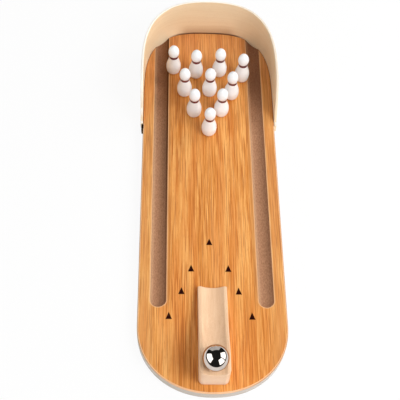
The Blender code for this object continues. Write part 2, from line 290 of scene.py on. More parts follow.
boardValues = {
    # outline and edges: an end's fullness is 2 for an ellipse, and more for a squarer end
    "frontDepth": 44.7 * mm,
    "frontFullness": 2.12,
    "backDepth": 61.0 * mm,
    "backFullness": 3.0,
    "rimRound": 0.9 * mm,
    "rimUnderFence": 0.45 * mm,
    "footRound": 0.4 * mm,
    # gutters, and the recess behind the screw's head
    "gutterWidth": 10.0 * mm,
    "gutterDepth": 2.8 * mm,
    "gutterFromSide": 7.9 * mm,
    "gutterFromFront": 57.1 * mm,
    "gutterEdgeRound": 0.12 * mm,
    "recessRadius": 3.7 * mm,
    "recessDepth": 0.5 * mm,
    # how closely its surface is worked out
    "endRows": 70,
    "sideRows": 40,
    "noseRows": 36,
    "recessRows": 61,
    "laneColumns": 14,
    "gutterColumns": 29,
    "marginColumns": 10,
    "underColumns": 9,
    "rimSteps": 7,
    "footSteps": 4,
    "wallSteps": 24,
    # printed triangles: size, middle line, and each pair's distance from it and from the front end
    "markSize": (4.1 * mm, 5.0 * mm),
    "markSoft": 0.12 * mm,
    "markCentre": -1.3 * mm,
    "markPlaces": (
        (0.0, 105.0 * mm),
        (12.2 * mm, 85.1 * mm),
        (18.5 * mm, 68.7 * mm),
        (26.5 * mm, 51.2 * mm),
    ),
    # print: sizes of its spots across, along and through, its tones, coats as (colour, strength),
    # and where each coat goes from nothing to full
    "swaySize": (30 * mm, 120 * mm, 30 * mm),
    "sway": 0.9 * mm,
    "broadSize": (7 * mm, 110 * mm, 30 * mm),
    "lineSize": (0.9 * mm, 50 * mm, 30 * mm),
    "fineSize": (0.5 * mm, 20 * mm, 30 * mm),
    "darkSize": (0.62 * mm, 30 * mm, 30 * mm),
    "poreSize": (0.3 * mm, 4.5 * mm, 30 * mm),
    "redSize": (5 * mm, 90 * mm, 30 * mm),
    "printTones": (
        (0.4, srgb(200, 121, 50)),
        (0.5, srgb(226, 153, 79)),
        (0.58, srgb(240, 177, 104)),
    ),
    "redBands": (srgb(212, 124, 56), 0.4),
    "darkLines": (srgb(166, 86, 34), 0.55),
    "pores": (srgb(166, 86, 34), 0.3),
    # painted light: the lane is paler towards the back, by the fence
    "wornBack": (srgb(238, 176, 128), 0.22),
    "tanMargins": (srgb(202, 160, 108), 0.22),
    "brownFront": (srgb(200, 121, 50), 0.2),
    # painted shade on the lane beside the pins
    "darkDeck": (srgb(166, 86, 34), 0.25),
    "dullBorder": (srgb(180, 122, 70), 0.4),
    "marks": (srgb(38, 2, 0), 1.0),
    "cutLine": (srgb(232, 186, 140), 0.6),
    "darkSpots": (0.55, 0.62),
    "poreSpots": (0.62, 0.72),
    "redSpots": (0.46, 0.62),
    "wornFromBack": (-55 * mm, -10 * mm),
    "brownAcross": (8 * mm, 22 * mm),
    "brownAlong": (-60 * mm, -90 * mm),
    "deckAcross": (-12 * mm, -24 * mm),
    "deckAlong": (50 * mm, 72 * mm),
    "borderFromGutter": ((-3.4 * mm, -1.8 * mm), (0.6 * mm, 0.0)),
    "borderAlong": (-95 * mm, -80 * mm),
    "cutFromGutter": ((0.8 * mm, 0.4 * mm), (-0.1 * mm, 0.05 * mm)),
    "printRoughness": (0.36, 0.46),
    "printRelief": 0.02 * mm,
    # bare fibreboard in the gutters
    "fibreSize": (0.7 * mm, 1.6 * mm, 0.7 * mm),
    "fibreTones": ((0.34, srgb(146, 104, 76)), (0.62, srgb(176, 130, 98))),
    # painted shade of the fence, darker towards the back of the gutters
    "gutterBack": (srgb(100, 48, 20), 0.4),
    # painted light, paler along each gutter's left wall
    "gutterPale": (srgb(236, 200, 158), 0.17),
    "gutterShade": (srgb(78, 42, 8), 0.38),
    "gutterWall": (srgb(78, 42, 8), 0.85),
    "fibreRoughness": 0.85,
    "fibreFromGutter": (0.02 * mm, -0.12 * mm),
    "darkFromFence": (-10 * mm, 45 * mm),
    "paleFromWall": (2.5 * mm, 0.8 * mm),
    "shadeAcross": (-3.5 * mm, 3.5 * mm),
    "shadeAlong": (-60 * mm, 60 * mm),
    "shadeAtFront": 0.4,
    "wallFromEdge": (-1.2 * mm, -0.4 * mm),
    "wallOverLip": 0.4 * mm,
    "wallAlong": (-100 * mm, -90 * mm),
    # side, rim and underside
    "fibreRelief": 0.03 * mm,
    "sideFibreSize": (0.5 * mm, 0.5 * mm, 0.35 * mm),
    "layerSize": (12 * mm, 12 * mm, 0.6 * mm),
    "sideTones": ((0.3, srgb(188, 178, 167)), (0.7, srgb(216, 207, 198))),
    "rimTones": ((0.3, srgb(228, 174, 130)), (0.7, srgb(247, 202, 158))),
    # painted shade on the rim where it faces right and where it faces left
    "rimRight": (srgb(172, 116, 66), 0.72),
    "rimLeft": (srgb(178, 146, 100), 0.75),
    # painted shade in the gap where the fence covers the board's edge
    "glueLine": (srgb(176, 112, 62), 1.0),
    "gutterEnd": (srgb(146, 104, 76), 1.0),
    "rimFromTop": (-1.15 * mm, -0.8 * mm),
    "rimFacing": ((0.1, 0.55), (-0.35, -0.85)),
    "glueFromFence": (-0.5 * mm, 0.5 * mm),
    "endFromGutter": (0.1 * mm, -0.2 * mm),
    "underFibreSize": (0.8 * mm, 2.4 * mm, mm),
    "cloudSize": (18 * mm, 26 * mm, mm),
    "underTones": ((0.3, srgb(150, 112, 82)), (0.7, srgb(188, 150, 116))),
}
halfWidth = (boardHigh.x - boardLow.x) / 2
gutterMiddle = halfWidth - boardValues["gutterFromSide"] - boardValues["gutterWidth"] / 2
gutterRadius = boardValues["gutterWidth"] / 2
gutterStart = boardLow.y + boardValues["gutterFromFront"] + gutterRadius


def boardRows(values):
    # half widths and places of rows down the lane, with |x / halfWidth| ** n + |y / depth| ** n = 1
    # at an end
    angle = np.linspace(0, np.pi / 2, values["endRows"])
    frontPower, backPower = 2 / values["frontFullness"], 2 / values["backFullness"]
    frontWidth = halfWidth * np.sin(angle) ** frontPower
    frontY = boardLow.y + values["frontDepth"] * (1 - np.cos(angle) ** frontPower)
    backWidth = halfWidth * np.cos(angle) ** backPower
    backY = boardHigh.y - values["backDepth"] * (1 - np.sin(angle) ** backPower)
    backWidth[-1] = 0.0
    middle = np.linspace(frontY[-1], backY[0], values["sideRows"] + 2)[1:-1]
    # closer rows round the gutters' front ends and behind the screw's head, a little past both
    noseFront, noseBack = gutterStart - 1.4 * gutterRadius, gutterStart + 0.2 * gutterRadius
    nose = np.linspace(noseFront, noseBack, values["noseRows"])
    recess = screwMiddle.y + np.linspace(-1.1, 1.1, values["recessRows"]) * values["recessRadius"]
    middle = np.unique(np.concatenate([middle, nose[nose > frontY[-1]], recess]))
    widths = np.concatenate([frontWidth, np.full(len(middle), halfWidth), backWidth])
    return widths, np.concatenate([frontY, middle, backY])


def boardOutline(rowWidths, rowPlaces):
    # the closed outline up the right side and down the left, with its outward normals
    right = np.stack([rowWidths, rowPlaces], axis=1)
    loop = np.concatenate([right, right[-2:0:-1] * [-1, 1]])
    ahead, behind = np.roll(loop, -1, axis=0), np.roll(loop, 1, axis=0)
    run = ahead - behind
    run /= np.linalg.norm(run, axis=1, keepdims=True)
    return loop, np.stack([run[:, 1], -run[:, 0]], axis=1)


def gutterCut(x, y, values):
    # depth of the round-bottomed gutters below the lane at (x, y), with a softly rounded lip
    edge, depth = gutterRadius, values["gutterDepth"]
    ballNose = (edge ** 2 + depth ** 2) / (2 * depth)
    away = np.hypot(np.abs(x) - gutterMiddle, np.minimum(y - gutterStart, 0))
    drop = np.sqrt(np.maximum(ballNose ** 2 - np.minimum(away, ballNose) ** 2, 0))
    cove = drop - (ballNose - depth)
    soft = values["gutterEdgeRound"]
    return np.where(away < edge + 2 * soft, (cove + np.hypot(cove, soft)) / 2, 0.0)


def boardColumns(values):
    # lines down the lane, close together over the gutters and on their lips
    edge = gutterRadius
    lip = np.array([-0.4, -0.2, -0.1, 0.0, 0.1, 0.2, 0.4]) * mm
    cove = np.linspace(-edge, edge, values["gutterColumns"])
    gutter = gutterMiddle + np.unique(np.concatenate([cove, edge + lip, -edge - lip]))
    plain = np.linspace(0, gutterMiddle - edge - mm, values["laneColumns"])
    margin = np.linspace(gutterMiddle + edge + mm, halfWidth, values["marginColumns"])
    right = np.concatenate([plain, gutter, margin])
    return np.concatenate([-right[:0:-1], right])


def squeezeColumns(columns, width):
    # keeps the columns straight as far as the outline lets them, and draws the outer ones in to it
    drawnIn, straightShare, tiny = 3 * mm, 0.6, 1e-9
    inner = np.maximum(width - drawnIn, straightShare * width)
    size = np.abs(columns)
    outer = inner + (size - inner) / (halfWidth - inner + tiny) * (width - inner)
    return np.sign(columns) * np.where(size <= inner, size, outer)


def boardSurfaces(values):
    # top: z = laneTop - gutterCut(x, y); edge: rows round the outline, from the rim to the foot
    widths, places = boardRows(values)
    loop, normal = boardOutline(widths, places)
    # the rim is rounded less where the fence covers it
    rounds = [values["rimRound"], values["rimUnderFence"]]
    topInset = np.interp(loop[:, 1], [fenceLow.y, fenceLow.y + mm], rounds)
    rows = len(widths)
    insetLoop = loop - normal * topInset[:, None]
    insetWidth, insetPlace = insetLoop[:rows, 0], insetLoop[:rows, 1]
    insetWidth[[0, -1]] = 0.0
    x = squeezeColumns(boardColumns(values)[None, :], insetWidth[:, None])
    y = np.repeat(insetPlace[:, None], x.shape[1], axis=1)
    top = np.stack([x, y, laneTop - gutterCut(x, y, values)], axis=-1)
    rim = np.linspace(0, np.pi / 2, values["rimSteps"])[:, None]
    footTurn = np.linspace(0, np.pi / 2, values["footSteps"])[:, None]
    foot = values["footRound"] * (1 - np.cos(footTurn)) + 0 * topInset
    wall = np.linspace(laneTop - topInset, values["footRound"], values["wallSteps"])[1:-1]
    offsets = np.concatenate([-topInset * (1 - np.sin(rim)), 0 * wall, -foot])
    heights = np.concatenate([laneTop - topInset * (1 - np.cos(rim)), wall, foot[::-1]])
    edgeXY = loop[None, :, :] + normal[None, :, :] * offsets[..., None]
    cut = laneTop - gutterCut(edgeXY[..., 0], edgeXY[..., 1], values)
    edgeZ = np.minimum(heights, np.maximum(cut, values["footRound"]))
    away = np.hypot(edgeXY[..., 1] - screwMiddle.y, edgeZ - screwMiddle.z)
    edgeX = edgeXY[..., 0]
    sunk = (away < values["recessRadius"]) & (edgeX < 0)
    edgeXY[..., 0] = np.where(sunk, np.maximum(edgeX, values["recessDepth"] - halfWidth), edgeX)
    edge = np.concatenate([edgeXY, edgeZ[..., None]], axis=-1)
    footLoop = loop - normal * values["footRound"]
    share = np.linspace(-1, 1, values["underColumns"])
    footWidth = footLoop[:rows, 0]
    footWidth[[0, -1]] = 0.0
    footX = footWidth[:, None] * share
    base = np.stack([footX, footLoop[:rows, 1:] + 0 * share, 0 * footX], axis=-1)
    return [(top, False, 0, None), (edge, True, 1, None), (base, False, 2, None)]


def gutterDistance(recipe):
    # signed distance from the gutters' edge, below zero inside: a capsule open to the back
    side = abs(recipe.across) - gutterMiddle
    front = (recipe.along - gutterStart).low(0.0)
    return (side * side + front * front).power(0.5) - gutterRadius


def laneMarks(recipe, values):
    # 1 inside the printed triangles: above the base line and between two sloping sides
    width, length = values["markSize"]
    fold = abs(recipe.across - values["markCentre"])
    found = None
    for aside, place in values["markPlaces"]:
        rise = recipe.along - (boardLow.y + place - length / 2)
        sideways = abs(fold - aside)
        inside = ((length - rise) * (width / 2 / length) - sideways).low(rise)
        found = inside if found is None else found.high(inside)
    return found.fade(-values["markSoft"], values["markSoft"])


def printedWood(recipe, values):
    # a photographic wood print: fine straight lines of uneven strength over slow changes of tone
    x, y, z = recipe.across, recipe.along, recipe.up
    sway = recipe.spots((x, y, z), values["swaySize"], 1.0)
    place = (x + (sway - 0.5) * values["sway"], y, z)
    broad = recipe.spots(place, values["broadSize"], 1.0)
    lines = recipe.spots(place, values["lineSize"], 2.0, 0.7)
    fine = recipe.spots(place, values["fineSize"], 2.0, 0.6)
    dark = recipe.spots(place, values["darkSize"], 1.0).fade(*values["darkSpots"])
    pores = recipe.spots(place, values["poreSize"], 1.0).fade(*values["poreSpots"])
    red = recipe.spots(place, values["redSize"], 2.0).fade(*values["redSpots"])
    # paler towards the back as painted light, tan outside the gutters, browner at the front right,
    # darker beside the pins as painted shade, and a duller border on the lane's side of both
    # gutters
    back = y.fade(*values["wornFromBack"], boardHigh.y)
    margins = abs(x).fade(gutterMiddle, gutterMiddle + gutterRadius)
    frontRight = x.fade(*values["brownAcross"]) * y.fade(*values["brownAlong"])
    pinShade = x.fade(*values["deckAcross"]) * y.fade(*values["deckAlong"])
    edge = gutterMiddle - gutterRadius
    onLane, inGutter = values["borderFromGutter"]
    border = abs(x).fade(*onLane, edge) * abs(x).fade(*inGutter, edge)
    wood = recipe.tones(broad * 0.24 + lines * 0.36 + fine * 0.4, values["printTones"])
    wood = recipe.coats(
        wood,
        (red, values["redBands"]),
        (dark, values["darkLines"]),
        (pores, values["pores"]),
        (back, values["wornBack"]),
        (margins, values["tanMargins"]),
        (frontRight, values["brownFront"]),
        (pinShade, values["darkDeck"]),
        (border * y.fade(*values["borderAlong"]), values["dullBorder"]),
        (laneMarks(recipe, values), values["marks"]),
    )
    return wood, lines, fine, pores


def lanePrint(values):
    # the print on the lane, and bare fibreboard where the gutters are cut through it
    recipe = Recipe("lanePrint", Specular_IOR_Level=0.2, Coat_Weight=0.04, Coat_Roughness=0.2)
    x, y = recipe.across, recipe.along
    wood, lines, fine, pores = printedWood(recipe, values)
    # the left gutter lies in its own shade along its right wall, more so towards the back
    fromMiddle = x + gutterMiddle - x.fade(-mm, mm) * (2 * gutterMiddle)
    left = x.fade(mm, -mm)
    wall = fromMiddle.fade(*values["wallFromEdge"], gutterRadius) * left
    atFront = values["shadeAtFront"]
    shaded = y.fade(*values["shadeAlong"]) * (1 - atFront) + atFront
    fibre = recipe.spots((x, y, recipe.up), values["fibreSize"], 4.0, 0.65)
    bare = recipe.coats(
        recipe.tones(fibre, values["fibreTones"]),
        # painted shade of the fence, darker towards the back
        (y.fade(*values["darkFromFence"], fenceLow.y), values["gutterBack"]),
        # painted light along the left wall of each gutter
        (fromMiddle.fade(*values["paleFromWall"], -gutterRadius), values["gutterPale"]),
        (fromMiddle.fade(*values["shadeAcross"]) * left * shaded, values["gutterShade"]),
        (wall * shaded, values["gutterWall"]),
    )
    overLip = wall * y.fade(*values["wallAlong"]) * values["wallOverLip"]
    distance = gutterDistance(recipe) - overLip
    inside = distance.fade(*values["fibreFromGutter"])
    outerLip, innerLip = values["cutFromGutter"]
    lip = distance.fade(*outerLip) * distance.fade(*innerLip)
    colour = recipe.coats(recipe.mix(inside, wood, bare), (lip, values["cutLine"]))
    smooth, rough = values["printRoughness"]
    uneven = ((lines - 0.3) / 0.4).low(1.0).high(0.0)
    roughness = (uneven * (rough - smooth) + smooth) * (1 - inside)
    roughness = roughness + inside * values["fibreRoughness"]
    height = (lines * 0.5 + fine * 0.5 - pores) * (1 - inside) + fibre * inside * 2
    return recipe.finish(colour, roughness, height, values["printRelief"])


def boardEdge(values):
    # grey-beige sawn side, a warmer rounded rim above it with painted shade where it faces right
    # and left, painted shade in the gap where the fence covers it, and darker where the gutters
    # meet it
    recipe = Recipe("boardEdge", Specular_IOR_Level=0.35)
    place = (recipe.across, recipe.along, recipe.up)
    fibre = recipe.spots(place, values["sideFibreSize"], 4.0, 0.7)
    layers = recipe.spots(place, values["layerSize"], 2.0)
    side = recipe.tones(fibre * 0.6 + layers * 0.4, values["sideTones"])
    sideways = recipe.facing()[0]
    right, left = values["rimFacing"]
    rim = recipe.coats(
        recipe.tones(fibre, values["rimTones"]),
        # painted shade where the rim faces right and where it faces left
        (sideways.fade(*right), values["rimRight"]),
        (sideways.fade(*left), values["rimLeft"]),
    )
    colour = recipe.coats(
        recipe.mix(recipe.up.fade(*values["rimFromTop"], laneTop), side, rim),
        # painted shade in the gap where the fence covers the edge
        (recipe.along.fade(*values["glueFromFence"], fenceLow.y), values["glueLine"]),
        (gutterDistance(recipe).fade(*values["endFromGutter"]), values["gutterEnd"]),
    )
    return recipe.finish(colour, 0.55 + fibre * 0.2, fibre, values["fibreRelief"])


def boardUnderside(values):
    recipe = Recipe("boardUnderside")
    place = (recipe.across, recipe.along, recipe.up)
    fibre = recipe.spots(place, values["underFibreSize"], 5.0, 0.65)
    clouds = recipe.spots(place, values["cloudSize"], 2.0)
    colour = recipe.tones(fibre * 0.6 + clouds * 0.4, values["underTones"])
    return recipe.finish(colour, 0.65 + fibre * 0.2, fibre, values["fibreRelief"])


makePiece("boardLane", boardSurfaces(boardValues), "base", "board",
          [make(boardValues) for make in (lanePrint, boardEdge, boardUnderside)], 30.0)
print("board made")


# Fence: a strip of wood bent round the board's back end

fenceValues = {
    "thickness": 1.7 * mm,
    "gap": 0.1 * mm,
    "backHeight": 33.6 * mm,
    "sideHeight": 26.4 * mm,
    "tabLength": 3.3 * mm,
    "shoulderLength": 24.0 * mm,
    "shoulderPower": 0.85,
    "risePower": 1.3,
    "edgeRound": 0.55 * mm,
    "cornerRadius": 1.0 * mm,
    # its left end starts behind the screw and leans forward above it
    "screwRoom": 3.7 * mm,
    "leanFrom": 1.0 * mm,
    "leanFade": 6.0 * mm,
    "lean": 0.5,
    # how closely its surface is worked out
    "cornerSteps": 10,
    "tabSteps": 9,
    "shoulderSteps": 60,
    "sideSteps": 10,
    "bendSteps": 150,
    "edgeSteps": 6,
    "wallSteps": 17,
    "capSteps": 6,
    # beech: sizes of its spots along, up and through, its tones, coats as (colour, strength), and
    # where each coat goes from nothing to full
    "swaySize": (60 * mm, 12 * mm, 4 * mm),
    "sway": 2.5 * mm,
    "bandSize": (110 * mm, 3.2 * mm, 1.2 * mm),
    "fineSize": (22 * mm, 0.4 * mm, 0.3 * mm),
    "fleckSize": (1.8 * mm, 0.28 * mm, 0.3 * mm),
    "sawSize": (1.2 * mm, 0.5 * mm, 0.35 * mm),
    "tones": (
        (0.34, srgb(238, 213, 175)),
        (0.5, srgb(243, 220, 184)),
        (0.66, srgb(246, 225, 191)),
    ),
    "flecks": (srgb(196, 152, 110), 0.12),
    "footShade": (srgb(162, 120, 82), 0.5),
    # painted light at the foot where the strip crosses the gutters
    "cornerLight": (srgb(255, 240, 208), 0.5),
    # painted shade along the gap where the lane ends against the strip
    "laneGapShade": (srgb(92, 54, 28), 0.85),
    # the cut edge's own pale colour, with painted light making it paler to the left
    "cutLitLeft": srgb(254, 250, 242),
    "cutDimRight": srgb(234, 220, 202),
    "cutStrength": 0.92,
    "relief": 0.03 * mm,
    "fleckSpots": (0.6, 0.7),
    "innerDepth": (0.8 * mm, 0.4 * mm),
    "fromBack": (-16 * mm, -5 * mm),
    "fromLaneEdge": (mm, -9 * mm),
    "cornersAcross": (15 * mm, 27 * mm),
    "footFromLane": (12 * mm, 0.0),
    "cornerLightFromLane": (16 * mm, mm),
    "gapShadeFromLane": (1.6 * mm, 0.3 * mm),
    "cutLightAcross": (5 * mm, 40 * mm),
    "cutFacing": (0.35, 0.75),
}


def fenceHalf(start, values):
    # half of the strip's path, to the middle of the back, from a front end that lies start behind
    # the foremost point: the board's outline again, with rows that crowd where the top edge turns
    straightEnd = boardHigh.y - boardValues["backDepth"]
    corner, tab = values["cornerRadius"], values["tabLength"]
    shoulderEnd = tab + values["shoulderLength"]
    rounded = start + corner * (1 - np.cos(np.linspace(0, np.pi / 2, values["cornerSteps"])))
    closerFirst = np.linspace(0, 1, values["shoulderSteps"]) ** 1.7
    onward = np.concatenate([
        np.linspace(corner, tab, values["tabSteps"])[1:-1],
        tab + values["shoulderLength"] * closerFirst,
        np.linspace(shoulderEnd, straightEnd - fenceLow.y, values["sideSteps"])[1:-1],
    ])
    side = np.concatenate([rounded, onward[onward > rounded[-1] + 0.05 * mm]])
    angle = np.linspace(0, np.pi / 2, values["bendSteps"])
    power = 2 / boardValues["backFullness"]
    bend = np.stack([halfWidth * np.cos(angle) ** power,
                     straightEnd + boardValues["backDepth"] * np.sin(angle) ** power], axis=1)
    bend[-1, 0] = 0.0
    straight = np.stack([np.full(len(side), halfWidth), fenceLow.y + side], axis=1)
    return np.concatenate([straight, bend])


def fencePath(leftStart, values):
    # both halves joined at the back, with outward normals and the distance travelled along the path
    right, left = fenceHalf(0.0, values), fenceHalf(leftStart, values)
    path = np.concatenate([right, left[-2::-1] * [-1, 1]])
    run = np.gradient(path, axis=0)
    run /= np.linalg.norm(run, axis=1, keepdims=True)
    step = np.linalg.norm(np.diff(path, axis=0), axis=1)
    travelled = np.concatenate([[0.0], np.cumsum(step)])
    return path, np.stack([run[:, 1], -run[:, 0]], axis=1), travelled


def fenceTop(distance, half, values):
    # height of the top edge: level tab, a rounded shoulder, then a slow rise to the back
    shoulder = np.clip((distance - values["tabLength"]) / values["shoulderLength"], 0, 1)
    end = values["tabLength"] + values["shoulderLength"]
    rise = np.clip((distance - end) / (half - end), 0, 1) ** values["risePower"]
    ease = rise * rise * (3 - 2 * rise)
    wall = values["sideHeight"] * np.sin(np.pi / 2 * shoulder) ** values["shoulderPower"]
    return laneTop + wall + (values["backHeight"] - values["sideHeight"]) * ease


def fenceSurfaces(values):
    # a rounded oblong carried along the path, its height following fenceTop
    leftStart = screwMiddle.y + values["screwRoom"] - fenceLow.y
    path, normal, travelled = fencePath(leftStart, values)
    whole = travelled[-1] + leftStart
    fromEnd = np.minimum(travelled, travelled[-1] - travelled)
    corner = values["cornerRadius"]
    drop = corner - np.sqrt(corner ** 2 - np.maximum(corner - fromEnd, 0) ** 2)
    bottom = values["gap"] + drop
    top = fenceTop(np.minimum(travelled, whole - travelled), whole / 2, values) - drop
    soft = values["edgeRound"]
    turn = np.linspace(0, np.pi / 2, values["edgeSteps"])
    inner, outer = values["gap"], values["gap"] + values["thickness"]
    loops, marks = [], []
    corners = (outer, 1, False), (outer, 1, True), (inner, -1, True), (inner, -1, False)
    for face, sign, upper in corners:
        for swing in (turn if upper == (sign > 0) else turn[::-1]):
            inset = soft * (1 - np.sin(swing))
            height = top - inset if upper else bottom + inset
            offset = face - sign * soft * (1 - np.cos(swing))
            spot = path + normal * offset
            loops.append(np.concatenate([spot, height[:, None]], axis=1))
            marks.append(np.stack([travelled, height, np.full(len(path), offset)], axis=1))
    grid = subdivideWalls(np.stack(loops, axis=1), values)
    grid = leanLeftEnd(grid, fenceLow.y + leftStart, values)
    mark = subdivideWalls(np.stack(marks, axis=1), values)
    caps = [(endCap(grid[row], values), False, 0, endCap(mark[row], values)) for row in (0, -1)]
    return [(grid, True, 0, mark), *caps]


def leanLeftEnd(grid, end, values):
    # draws the left end forward above the screw's head, by a slope that dies out behind the end
    x, y, z = grid[..., 0], grid[..., 1], grid[..., 2]
    above = np.maximum(z - screwMiddle.z - values["leanFrom"], 0)
    nearness = np.clip(1 - (y - end) / values["leanFade"], 0, 1)
    leaned = np.where(x < 0, y - values["lean"] * above * nearness, y)
    return np.stack([x, leaned, z], axis=-1)


def endCap(loop, values):
    # closes an end between its outer half and its inner half, level by level
    half = len(loop) // 2
    outside, inside = loop[:half], loop[half:][::-1]
    return outside + (inside - outside) * np.linspace(0, 1, values["capSteps"])[:, None, None]


def subdivideWalls(grid, values):
    # adds points on the tall outer and inner walls, between one rounded edge and the next
    share = np.linspace(0, 1, values["wallSteps"])[1:-1, None]
    outer, inner = values["edgeSteps"], 3 * values["edgeSteps"]
    outside, inside = (
        grid[:, place - 1:place] + (grid[:, place:place + 1] - grid[:, place - 1:place]) * share
        for place in (outer, inner)
    )
    rest = grid[:, :outer], grid[:, outer:inner], grid[:, inner:]
    return np.concatenate([rest[0], outside, rest[1], inside, rest[2]], axis=1)


def bentBeech(values):
    # long pale grain along the strip, with the short darker flecks of beech
    recipe = Recipe("bentBeech", Coat_Weight=0.15, Coat_Roughness=0.3)
    settings = {"attribute_name": "grain", "attribute_type": "GEOMETRY"}
    along, up, depth = recipe.split(recipe.add("ShaderNodeAttribute", settings, {}, "Vector"))
    sway = recipe.spots((along, up, depth), values["swaySize"], 1.0)
    wavy = (along, up + (sway - 0.5) * values["sway"], depth)
    bands = recipe.spots(wavy, values["bandSize"], 3.0, 0.6)
    fine = recipe.spots(wavy, values["fineSize"], 2.0, 0.6)
    flecks = recipe.spots((along, up, depth), values["fleckSize"], 1.0).fade(*values["fleckSpots"])
    # inside the back, painted shade darkens it towards the foot, painted light makes it paler there
    # where it crosses the gutters, and a dark line of painted shade runs along the end of the lane
    inner = depth.fade(*values["innerDepth"])
    back = recipe.along.fade(*values["fromBack"], boardHigh.y) * inner
    lane = abs(recipe.across).fade(*values["fromLaneEdge"], gutterMiddle - gutterRadius)
    corners = abs(recipe.across).fade(*values["cornersAcross"]) * inner
    # the cut top edge is paler than the faces, and paler still to the left as painted light
    rightward = recipe.across.fade(*values["cutLightAcross"])
    cut = recipe.mix(rightward, values["cutLitLeft"], values["cutDimRight"])
    wood = recipe.coats(
        recipe.tones(bands * 0.6 + fine * 0.4, values["tones"]),
        (flecks, values["flecks"]),
        (up.fade(*values["footFromLane"], laneTop) * back * (1 - corners), values["footShade"]),
        (up.fade(*values["cornerLightFromLane"], laneTop) * corners, values["cornerLight"]),
        (up.fade(*values["gapShadeFromLane"], laneTop) * lane * back, values["laneGapShade"]),
        (recipe.facing()[2].fade(*values["cutFacing"]), (cut, values["cutStrength"])),
    )
    saw = recipe.spots((along, up, depth), values["sawSize"], 3.0)
    height = fine * 0.6 + saw * 0.4 - flecks * 0.5
    return recipe.finish(wood, 0.42 + fine * 0.18, height, values["relief"])


fenceFinish = [bentBeech(fenceValues)]
makePiece("fenceStrip", fenceSurfaces(fenceValues), "base", "fence", fenceFinish, 40.0)
print("fence made")


# Screw: a black pan head with a cross recess, let into the board's left side

screwValues = {
    "headRadius": 3.4 * mm,
    "headHeight": 1.5 * mm,
    "straight": 0.95 * mm,
    "slotHalfWidth": 0.42 * mm,
    "slotReach": 1.75 * mm,
    "slotDepth": 0.8 * mm,
    "slotSoft": 0.15 * mm,
    "slotTaper": 0.5 * mm,
    "turned": 0.35,
    "shankRadius": 1.5 * mm,
    "tipLength": 1.6 * mm,
    "threadPitch": 0.5 * mm,
    "threadShare": 0.86,
    "headRings": 40,
    "sides": 96,
    "gritSize": (0.5 * mm, 0.5 * mm, 0.5 * mm),
    "tones": ((0.35, srgb(20, 11, 7)), (0.75, srgb(44, 28, 18))),
    "relief": 0.01 * mm,
}


def screwSurfaces(values):
    # the domed head is a height over a disc, sunk where the cross lies; the shank is turned
    seat = screwLow.x + values["headHeight"]
    length = screwHigh.x - seat
    radius = values["headRadius"] * np.sqrt(np.linspace(0, 1, values["headRings"]))
    angle = np.linspace(0, 2 * np.pi, values["sides"], endpoint=False)
    p, q = radius[:, None] * np.cos(angle), radius[:, None] * np.sin(angle)
    cos, sin = np.cos(values["turned"]), np.sin(values["turned"])
    a, b = np.abs(p * cos + q * sin), np.abs(q * cos - p * sin)
    dome = values["headHeight"] - values["straight"]
    bulge = np.sqrt(np.maximum(1 - (radius / values["headRadius"]) ** 2, 0))
    crown = values["straight"] + dome * bulge[:, None]
    slots = [
        np.clip((values["slotHalfWidth"] - aside) / values["slotSoft"] + 0.5, 0, 1)
        * np.clip((values["slotReach"] - onward) / values["slotTaper"], 0, 1)
        for aside, onward in ((a, b), (b, a))
    ]
    height = crown - values["slotDepth"] * np.maximum(*slots)
    head = np.stack([seat - height, screwMiddle.y + p, screwMiddle.z + q], axis=-1)
    shank, tip, root = values["shankRadius"], values["tipLength"], values["threadShare"]
    rows = [(values["headRadius"], values["straight"]), (values["headRadius"], 0.0), (shank, 0.0)]
    thread = np.arange(1, (length - tip) / (values["threadPitch"] / 2)) * values["threadPitch"] / 2
    rows += [(shank * (root if k % 2 else 1), -depth) for k, depth in enumerate(thread)]
    rows += [(shank * root, tip - length), (shank * 0.45, tip * 0.4 - length), (0.0, -length)]
    rows = np.array(rows)
    body = np.stack([seat - rows[:, 1:] + 0 * angle,
                     screwMiddle.y + rows[:, :1] * np.cos(angle),
                     screwMiddle.z + rows[:, :1] * np.sin(angle)], axis=-1)
    return [(head, True, 0, None), (body, True, 0, None)]


def blackSteel(values):
    recipe = Recipe("blackSteel", Specular_IOR_Level=0.12)
    grit = recipe.spots((recipe.across, recipe.along, recipe.up), values["gritSize"], 3.0)
    colour = recipe.tones(grit, values["tones"])
    return recipe.finish(colour, 0.5 + grit * 0.25, grit, values["relief"])


screwFinish = [blackSteel(screwValues)]
makePiece("blackScrew", screwSurfaces(screwValues), "base", "fence_screw",
          screwFinish, 40.0)
print("screw made")


# Ramp: a block with a swept top and a shallow groove

